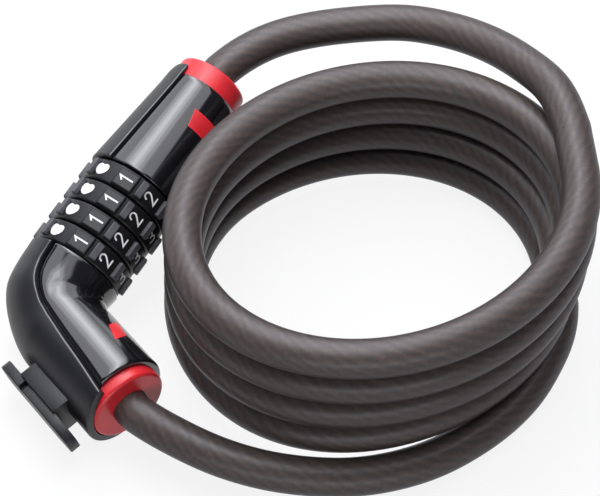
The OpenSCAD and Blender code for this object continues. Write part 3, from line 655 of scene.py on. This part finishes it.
# Each number's strokes, as lines in a cell that is 0.6 wide and 1 high
digit_lines = {
    1: [[(0.12, 0.78), (0.36, 1), (0.36, 0)]],
    2: [[(0.04, 0.76), (0.1, 0.91), (0.2, 0.98), (0.32, 1), (0.46, 0.96), (0.55, 0.84),
         (0.55, 0.69), (0.46, 0.53), (0.03, 0), (0.6, 0)]],
    3: [[(0.04, 0.87), (0.16, 0.97), (0.3, 1), (0.46, 0.95), (0.54, 0.8), (0.49, 0.64),
         (0.36, 0.55), (0.22, 0.54)],
        [(0.36, 0.55), (0.51, 0.46), (0.58, 0.28), (0.5, 0.08), (0.31, 0), (0.14, 0.03),
         (0.02, 0.14)]],
    4: [[(0.46, 0), (0.46, 1), (0.02, 0.28), (0.62, 0.28)]],
    5: [[(0.53, 1), (0.13, 1), (0.07, 0.54), (0.2, 0.62), (0.35, 0.62), (0.5, 0.52),
         (0.57, 0.33), (0.52, 0.14), (0.38, 0.02), (0.2, 0.01), (0.02, 0.12)]],
    6: [[(0.44, 1), (0.26, 0.82), (0.11, 0.58), (0.04, 0.32), (0.1, 0.11), (0.28, 0),
         (0.46, 0.06), (0.57, 0.25), (0.52, 0.46), (0.36, 0.57), (0.18, 0.52), (0.06, 0.36)]],
    7: [[(0.02, 1), (0.58, 1), (0.2, 0)]],
    8: [[(0.3, 0.54), (0.13, 0.63), (0.06, 0.78), (0.14, 0.94), (0.3, 1), (0.46, 0.94),
         (0.54, 0.78), (0.47, 0.63), (0.3, 0.54), (0.1, 0.43), (0.02, 0.25), (0.1, 0.07),
         (0.3, 0), (0.5, 0.07), (0.58, 0.25), (0.5, 0.43), (0.3, 0.54)]],
    9: [[(0.16, 0), (0.34, 0.18), (0.49, 0.42), (0.56, 0.68), (0.5, 0.89), (0.32, 1),
         (0.14, 0.94), (0.03, 0.75), (0.08, 0.54), (0.24, 0.43), (0.42, 0.48), (0.54, 0.64)]],
}


def stroke(bm, line, wide, thick):
    """Adds a thin ribbon of a width along a line, with mitred corners."""
    points = []
    for a, b in zip(line, line[1:]):
        parts = max(1, math.ceil((b - a).length / 0.6))
        points += [a.lerp(b, k / parts) for k in range(parts)]
    points.append(line[-1])
    rows = []
    for k, p in enumerate(points):
        before = (p - points[k - 1]).normalized() if k else (points[1] - p).normalized()
        after = (points[k + 1] - p).normalized() if k + 1 < len(points) else before
        side = Vector((-before.y - after.y, before.x + after.x)).normalized()
        out = wide / 2 / max(0.4, side.dot(Vector((-before.y, before.x))))
        end = (before * wide / 2) * ((k + 1 == len(points)) - (k == 0))
        rows.append([bm.verts.new((*(p + end + side * s * out), z * thick / 2))
                     for s, z in ((-1, -1), (1, -1), (1, 1), (-1, 1))])
    for here, there in zip(rows, rows[1:]):
        for i in range(4):
            bm.faces.new((here[i], here[i - 1], there[i - 1], there[i]))
    bm.faces.new(rows[0])
    bm.faces.new(rows[-1][::-1])


def number_mesh(number, tall, wide):
    """A number in raised strokes, centred, in millimetres."""
    bm = bmesh.new()
    for line in digit_lines[number]:
        points = [Vector(((x - 0.3) * tall, (y - 0.5) * tall)) for x, y in line]
        stroke(bm, points, wide, mark_thick)
    bmesh.ops.recalc_face_normals(bm, faces=bm.faces)
    return meshed(f"number_{number}", bm)


def zero_mesh(radius):
    """Rounded heart that marks the zero position, its dent towards the plug."""
    bm = bmesh.new()
    fans = 56
    rings = []
    for z in (-mark_thick / 2, mark_thick / 2):
        for part in (1, 0.5):
            ring = []
            for k in range(fans):
                a = 2 * math.pi * k / fans
                far = math.remainder(a - math.pi / 2, 2 * math.pi)
                out = radius * part * (1 - 0.28 * math.exp(-(far / 0.4) ** 2)
                                       + 0.12 * math.exp(-((abs(far) - 0.95) / 0.5) ** 2)
                                       - 0.07 * math.exp(-((abs(far) - 2.3) / 0.5) ** 2))
                ring.append(bm.verts.new((1.16 * out * math.cos(a), out * math.sin(a), z)))
            rings.append(ring)
    for first, last in ((0, 1), (2, 3), (0, 2)):
        for k in range(fans):
            j = (k + 1) % fans
            bm.faces.new((rings[first][k], rings[first][j], rings[last][j], rings[last][k]))
    for ring in (rings[1], rings[3]):
        middle = bm.verts.new((0, 0, ring[0].co.z))
        for k in range(fans):
            bm.faces.new((ring[k], ring[(k + 1) % fans], middle))
    bmesh.ops.recalc_face_normals(bm, faces=bm.faces)
    return meshed("zero_mark", bm)


mark_meshes = [zero_mesh(zero_half)]
mark_meshes += [number_mesh(n, mark_tall, stroke_wide) for n in range(1, fields)]


def on_dial(number, spot):
    """Place on a dial of a spot in a mark: tops towards the zero mark, reading along the axis."""
    along, up, out = (spot.y, -spot.x, spot.z) if number == 0 else spot
    mid = math.radians(dial_index + number * mark_step)
    if number % pads_apart == 1:
        x, y = pad_face + out, -up
        return (x * math.cos(mid) - y * math.sin(mid), x * math.sin(mid) + y * math.cos(mid),
                dial_wide / 2 + along)
    a = mid - up / dial_rim
    return ((dial_rim + out) * math.cos(a), (dial_rim + out) * math.sin(a), dial_wide / 2 + along)


rim_profile = [(dial_bore, 0.3), (dial_bore + 0.3, 0), (dial_rim - 0.9, 0),
               (dial_rim - 0.3, 0.22), (dial_rim - 0.06, 0.5), (dial_rim, 0.85)]
rim_profile += [(r, dial_wide - z) for r, z in reversed(rim_profile)]
for place, number in ((3, 1), (2, 2), (1, 3), (0, 4)):
    to_head = head_mm @ Matrix.Translation((0, 0, dial_first + place * dial_pitch))
    ring = turned_ring(rim_profile, 120)
    ring.from_mesh(pads)
    for face in ring.faces:
        face.material_index = 0
    plain = len(ring.faces)
    ring.from_mesh(ribs)
    ring.faces.ensure_lookup_table()
    # The ribs take the lighter grey of the painted highlight.
    for face in ring.faces[plain:]:
        face.material_index = 1
    mesh = meshed(f"number_dial_{number}", ring)
    mesh.transform(to_head)
    smoothed(mesh, 35)
    dial = new_piece(f"number_dial_{number}", mesh, satin_black, worn_black)
    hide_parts(f"dial_{number}")
    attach(dial, f"dial_ring_{number}")

    bm = bmesh.new()
    for mark, flat in enumerate(mark_meshes):
        verts = [bm.verts.new(on_dial(mark, v.co)) for v in flat.vertices]
        for f in flat.polygons:
            bm.faces.new([verts[i] for i in f.vertices])
    bmesh.ops.recalc_face_normals(bm, faces=bm.faces)
    mesh = meshed(f"dial_marks_{number}", bm)
    mesh.transform(to_head)
    marks = new_piece(f"dial_marks_{number}", mesh, mark_white)
    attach(marks, f"dial_ring_{number}")


# The plug: a tapered glossy shell that pulls off the dials, with its own matte cover, round-nosed
# and a little longer than the shell, and with a red inlay and a red cap around the cable.
plug_low, plug_high, plug_top = 49.8, 88.4, 92.0
plug_wide, plug_taper = 16.3, 3.6
pin_bore, ferrule_bore, cap_bore = 5.03, 8.53, 10.03
ferrule_from, cap_from = 55.8, 84.5
nose_from, nose_corner = 84.8, 2.2
nose_out, nose_bore = 12.35, 12.05
plug_edge = math.radians(72)
plug_seam = math.radians(75.2)
plug_roll, plug_cover_roll = (1.0, 1.0), (0.5, 0.5)


def plug_radius(z):
    """The plug's radius at a height, narrower towards the cable."""
    return plug_wide - plug_taper * (z - plug_low) / (plug_high - plug_low)


plug_rows = ([(plug_low, 0.4, pin_bore), (plug_low + 0.12, 0.15, pin_bore),
              (plug_low + 0.4, 0, pin_bore)]
             + [(z, 0, pin_bore) for z in evenly(plug_low + 1, ferrule_from - 0.1, 4)]
             + [(z, 0, ferrule_bore) for z in evenly(ferrule_from, cap_from - 0.1, 14)]
             + [(z, 0, cap_bore) for z in evenly(cap_from, plug_high - 0.5, 3)]
             + [(plug_high - 0.4, 0, cap_bore), (plug_high - 0.12, 0.15, cap_bore),
                (plug_high, 0.4, cap_bore)])
outer, inner = [], []
for z, sunk, bore in plug_rows:
    turns, depths = rolled_turns(plug_seam, 2 * math.pi - plug_seam, roll_r, plug_roll, 64)
    floor = [-plug_seam + 2 * plug_seam * k / 16 for k in range(17)]
    radii = plug_radius(z) - sunk - np.array(depths + [recess] * len(floor))
    outer.append(in_section(fan_high - z, turns + floor, radii))
    inner.append(in_section(fan_high - z, turns + floor, [bore] * len(radii)))
mesh = walled("plug_glossy_shell", outer, inner, True)
shell = new_piece("plug_glossy_shell", mesh, polished_black)
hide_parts("plug_shell")
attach(shell, "plug")

outer, inner = [], []
rows = [(plug_low, plug_radius(plug_low) + 0.15), (plug_low + 0.12, plug_radius(plug_low) + 0.4)]
rows += [(z, plug_radius(z) + cover_proud)
         for z in [plug_low + 0.4] + evenly(plug_low + 1, nose_from, 18)]
nose_r = plug_radius(nose_from) + cover_proud
for k in range(19):
    a = math.radians(5 * k)
    rows.append((nose_from + (plug_top - nose_from) * math.sin(a),
                 nose_out + (nose_r - nose_out) * math.cos(a)))
for z, r in rows:
    into = max(0.0, z - (plug_top - nose_corner))
    edge = plug_edge - (nose_corner - math.sqrt(max(0, nose_corner**2 - into**2))) / 12.5
    turns, depths = rolled_turns(-edge, edge, 14, plug_cover_roll, 48)
    rolled = 1 if z < plug_top - 1 else 0.3
    under = r - cover_t if z < plug_high else nose_bore
    outer.append(in_section(fan_high - z, turns, r - np.array(depths) * rolled))
    inner.append(in_section(fan_high - z, turns, [under] * len(turns)))
mesh = walled("plug_matte_cover", outer, inner, False, edge_columns)
# Its rolled edges take the same glossier black, whose lighter colour is a painted edge highlight.
shell = new_piece("plug_matte_cover", mesh, grained_black, rubbed_black)
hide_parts("plug_cover")
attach(shell, "plug")
dress(satin_red, "plug_inlay", "plug_cap")


# The cable: stranded steel in a smoked, slightly clear plastic sleeve that lets the twist of
# the strands show. It springs back into four turns, and its two leads run to the caps.
cable_d = 0.012
smoked_sleeve = bpy.data.materials.new("smoked_sleeve")
smoked_sleeve.use_nodes = True
nodes, links = smoked_sleeve.node_tree.nodes, smoked_sleeve.node_tree.links
shader = nodes["Principled BSDF"]
lay = nodes.new("ShaderNodeUVMap")
lay.uv_map = "lay"
lay_split = nodes.new("ShaderNodeSeparateXYZ")
links.new(lay.outputs["UV"], lay_split.inputs["Vector"])


def math_node(operation, *values):
    """Output of a new math node in the sleeve's finish, from sockets or plain values."""
    node = nodes.new("ShaderNodeMath")
    node.operation = operation
    for i, value in enumerate(values):
        if isinstance(value, bpy.types.NodeSocket):
            links.new(value, node.inputs[i])
        else:
            node.inputs[i].default_value = value
    return node.outputs[0]


smudge = noise(smoked_sleeve, 90, 3)
patches = noise(smoked_sleeve, 700, 2)
strands, lay_long = 12, 0.066
wires_round, wires_per_metre = 44, 700
twist = math_node("MULTIPLY_ADD", lay_split.outputs["Y"], -strands,
                  math_node("MULTIPLY", lay_split.outputs["X"], strands / lay_long))
wander = math_node("MULTIPLY_ADD", smudge, 2.2, twist)
wave = math_node("SINE", math_node("MULTIPLY", wander, 2 * math.pi))
strand = math_node("MULTIPLY_ADD", wave, 0.5, 0.5)
wire_run = math_node("MULTIPLY", lay_split.outputs["X"], 2 * math.pi * wires_per_metre)
wires = math_node("SINE", math_node("MULTIPLY_ADD", lay_split.outputs["Y"],
                                    -2 * math.pi * wires_round, wire_run))
shown = math_node("MULTIPLY", strand, math_node("MULTIPLY_ADD", patches, 0.7, 0.15))
seen = math_node("ADD", math_node("MULTIPLY_ADD", patches, 0.3, 0.165),
                 math_node("MULTIPLY_ADD", wires, 0.05, math_node("MULTIPLY", shown, 0.42)))
tint = nodes.new("ShaderNodeValToRGB")
tint.color_ramp.elements[0].position = 0.15
tint.color_ramp.elements[0].color = (0.086, 0.076, 0.072, 1)
tint.color_ramp.elements[1].position = 0.85
tint.color_ramp.elements[1].color = (0.24, 0.176, 0.14, 1)
links.new(seen, tint.inputs["Fac"])
links.new(tint.outputs["Color"], shader.inputs["Base Color"])
shader.inputs["Specular IOR Level"].default_value = 0.6
shader.inputs["Coat Weight"].default_value = 1
shader.inputs["Coat Roughness"].default_value = 0.4
shader.inputs["Coat IOR"].default_value = 1.12
shader.inputs["Coat Tint"].default_value = (0.6, 0.6, 0.63, 1)
shine = nodes.new("ShaderNodeMapRange")
shine.inputs["To Min"].default_value = 0.34
shine.inputs["To Max"].default_value = 0.44
links.new(smudge, shine.inputs["Value"])
links.new(shine.outputs["Result"], shader.inputs["Roughness"])
skin = noise(smoked_sleeve, 2600, 4)
bump = nodes.new("ShaderNodeBump")
bump.inputs["Distance"].default_value = 0.00001
links.new(skin, bump.inputs["Height"])
links.new(bump.outputs["Normal"], shader.inputs["Normal"])

tube_tree, tube_in, tube_out, add = nodes_tree(
    "sleeved_cable", ("Diameter", "NodeSocketFloat"), ("Sides", "NodeSocketInt"),
    ("Run Before", "NodeSocketFloat"), ("Finish", "NodeSocketMaterial"))
line = add("GeometryNodeMeshToCurve", [("Mesh", tube_in.outputs["Geometry"])])
level = add("GeometryNodeSetCurveNormal", [("Curve", line.outputs[0])], mode="Z_UP")
run = add("GeometryNodeSplineParameter")
run_kept = add("GeometryNodeCaptureAttribute", [("Geometry", level.outputs[0])], domain="POINT")
run_kept.capture_items.new("FLOAT", "Run")
tube_tree.links.new(run.outputs["Length"], run_kept.inputs[1])
radius = add("ShaderNodeMath", [(0, tube_in.outputs["Diameter"]), (1, 0.5)], operation="MULTIPLY")
ring_line = add("GeometryNodeCurvePrimitiveCircle", [("Resolution", tube_in.outputs["Sides"]),
                                                     ("Radius", radius.outputs[0])])
round_kept = add("GeometryNodeCaptureAttribute", [("Geometry", ring_line.outputs[0])],
                 domain="POINT")
round_kept.capture_items.new("FLOAT", "Round")
tube_tree.links.new(run.outputs["Factor"], round_kept.inputs[1])
tube = add("GeometryNodeCurveToMesh",
           [("Curve", run_kept.outputs[0]), ("Profile Curve", round_kept.outputs[0]),
            ("Fill Caps", True)])
face_round = add("GeometryNodeFieldOnDomain", [(0, round_kept.outputs[1])],
                 domain="FACE", data_type="FLOAT")
behind = add("ShaderNodeMath", [(0, face_round.outputs[0]), (1, round_kept.outputs[1])],
             operation="SUBTRACT")
last_face = add("ShaderNodeMath", [(0, behind.outputs[0]), (1, 0.25)], operation="GREATER_THAN")
round_on = add("ShaderNodeMath", [(0, round_kept.outputs[1]), (1, last_face.outputs[0])],
               operation="ADD")
run_on = add("ShaderNodeMath", [(0, run_kept.outputs[1]), (1, tube_in.outputs["Run Before"])],
             operation="ADD")
lay_at = add("ShaderNodeCombineXYZ", [("X", run_on.outputs[0]), ("Y", round_on.outputs[0])])
mapped = add("GeometryNodeStoreNamedAttribute",
             [("Geometry", tube.outputs[0]), ("Name", "lay"), ("Value", lay_at.outputs[0])],
             data_type="FLOAT2", domain="CORNER")
real = add("GeometryNodeRealizeInstances", [("Geometry", mapped.outputs[0])])
smooth = add("GeometryNodeSetShadeSmooth", [("Geometry", real.outputs[0])])
coated = add("GeometryNodeSetMaterial",
             [("Geometry", smooth.outputs[0]), ("Material", tube_in.outputs["Finish"])])
tube_tree.links.new(coated.outputs[0], tube_out.inputs[0])


def smooth_route(points, spacing):
    """Points close together on a smooth line through a route's points."""
    knots = [0.0]
    for a, b in zip(points, points[1:]):
        knots.append(knots[-1] + math.sqrt((b - a).length))
    ways = []
    for i in range(len(points)):
        j, k = max(i - 1, 0), min(i + 1, len(points) - 1)
        if 0 < i < len(points) - 1:
            before = (points[i] - points[j]) / (knots[i] - knots[j])
            after = (points[k] - points[i]) / (knots[k] - knots[i])
            share = (knots[i] - knots[j]) / (knots[k] - knots[j])
            ways.append(before * (1 - share) + after * share)
        else:
            ways.append((points[k] - points[j]) / (knots[k] - knots[j]))
    fine = []
    for i in range(len(points) - 1):
        gap = knots[i + 1] - knots[i]
        steps = max(2, math.ceil((points[i + 1] - points[i]).length / spacing))
        for s in range(steps):
            t = s / steps
            fine.append((2 * t**3 - 3 * t**2 + 1) * points[i]
                        + (t**3 - 2 * t**2 + t) * gap * ways[i]
                        + (3 * t**2 - 2 * t**3) * points[i + 1]
                        + (t**3 - t**2) * gap * ways[i + 1])
    fine.append(points[-1])
    for pull in [0.5, -0.52] * 90:
        pulled = [b + pull * ((a + c) / 2 - b) for a, b, c in zip(fine[2:], fine[3:], fine[4:])]
        fine = fine[:3] + pulled[:len(fine) - 6] + fine[-3:]
    return fine


def length_of(points):
    """Length of a line of points."""
    return sum((b - a).length for a, b in zip(points, points[1:]))


coil_at = Vector((0.08076, -0.00646, 0))
coil_half = (0.0635, 0.0555)
coil_high, coil_pitch, coil_turns = 0.0572, 0.0125, 4
coil_turned = math.radians(35)
coil_first = math.atan(coil_half[0] / coil_half[1] * math.tan(math.radians(12) - coil_turned))
turn_steps = 144
# How far the lower turns lie to one side, where they don't, and over how many turns that grows
low_slip = Vector((-0.0046, 0, 0))
slip_rest, slip_span = math.radians(210), math.radians(75)
slip_from, slip_turns = 1.2, 2.6


def coil_point(turn):
    """Point of the coil's middle line. Its lower turns lie a little to one side."""
    a = coil_first - 2 * math.pi * turn
    x, y = coil_half[0] * math.cos(a), coil_half[1] * math.sin(a)
    spot = Vector((x * math.cos(coil_turned) - y * math.sin(coil_turned),
                   x * math.sin(coil_turned) + y * math.cos(coil_turned),
                   coil_high - coil_pitch * turn))
    down = min(1, max(0, (turn - slip_from) / slip_turns))
    off_rest = math.remainder(math.atan2(spot.y, spot.x) - slip_rest, 2 * math.pi)
    off_rest = min(1, abs(off_rest) / slip_span)
    slip = down * down * (3 - 2 * down) * off_rest * off_rest * (3 - 2 * off_rest)
    return coil_at + spot + slip * low_slip


wound = [coil_point(k / turn_steps) for k in range(coil_turns * turn_steps + 1)]
way_in = (wound[1] - wound[0]).normalized()
way_out = (wound[-1] - wound[-2]).normalized()
coil_in = wound[0] - cable_d * way_in
coil_out = wound[-1] + cable_d * way_out
plug_way = head.to_3x3() @ Vector((0, 0, 1))
plug_exit = head @ Vector((0, 0, 0.0954))
arm_turn = Euler((0, math.radians(180 + bend), 0)).to_matrix()
arm_way = head.to_3x3() @ arm_turn @ Vector((0, 0, 1))
arm_exit = head @ (arm_turn @ Vector((0, 0, 0.046)))
# The leads' middle lines, in millimetres from the coil's middle, and their straight ends
plug_lead = [(-44.4, 74.6, 41), (-36.4, 79.5, 42), (-27, 82.9, 42.9), (-16, 84.8, 43.9),
             (-4, 85.2, 45.2), (8, 84.2, 46.8), (20, 80, 48.8), (31, 73.5, 51),
             (40.8, 65, 53.2), (49, 54.8, 55.4), (55, 45, 57)]
arm_lead = [(56.2, -13, 6.4), (51, -25.6, 6.2), (44.4, -36.9, 6.2), (36.2, -46.2, 6.2),
            (27, -53.9, 6.3), (15.6, -61.2, 6.8), (3, -66.3, 7.6), (-10, -69.2, 8.7),
            (-23, -69.8, 10.2), (-36, -68.6, 11.8), (-47.5, -65.6, 13.2), (-57.8, -61.2, 14.3)]
cap_straight, coil_straight, route_step = 0.0041, 0.003, 0.0025
routes = {
    "cable_to_plug": smooth_route([plug_exit, plug_exit + cap_straight * plug_way]
                                  + [coil_at + Vector(p) / 1000 for p in plug_lead]
                                  + [coil_in - coil_straight * way_in, coil_in], route_step),
    "cable_coil_sleeve": [coil_in] + wound + [coil_out],
    "cable_to_arm": smooth_route([coil_out, coil_out + coil_straight * way_out]
                                 + [coil_at + Vector(p) / 1000 for p in arm_lead]
                                 + [arm_exit + cap_straight * arm_way, arm_exit], route_step),
}
run_before = 0.0
for name, route in routes.items():
    line_mesh = bpy.data.meshes.new(name + "_line")
    line_mesh.from_pydata(route, [(i, i + 1) for i in range(len(route) - 1)], [])
    mesh = grown(name, line_mesh, tube_tree, Diameter=cable_d, Sides=48, Run_Before=run_before,
                 Finish=smoked_sleeve)
    piece = new_piece(name, mesh, smoked_sleeve)
    run_before += length_of(route)
    if name == "cable_to_plug":
        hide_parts("cable_plug_lead")
        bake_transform(piece)
    elif name == "cable_coil_sleeve":
        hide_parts("cable_coil")
        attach(piece, "lock_body")
    else:
        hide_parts("cable_arm_lead")
        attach(piece, "lock_body")
dress(smoked_sleeve, "arm_cable_end", "plug_cable_end")
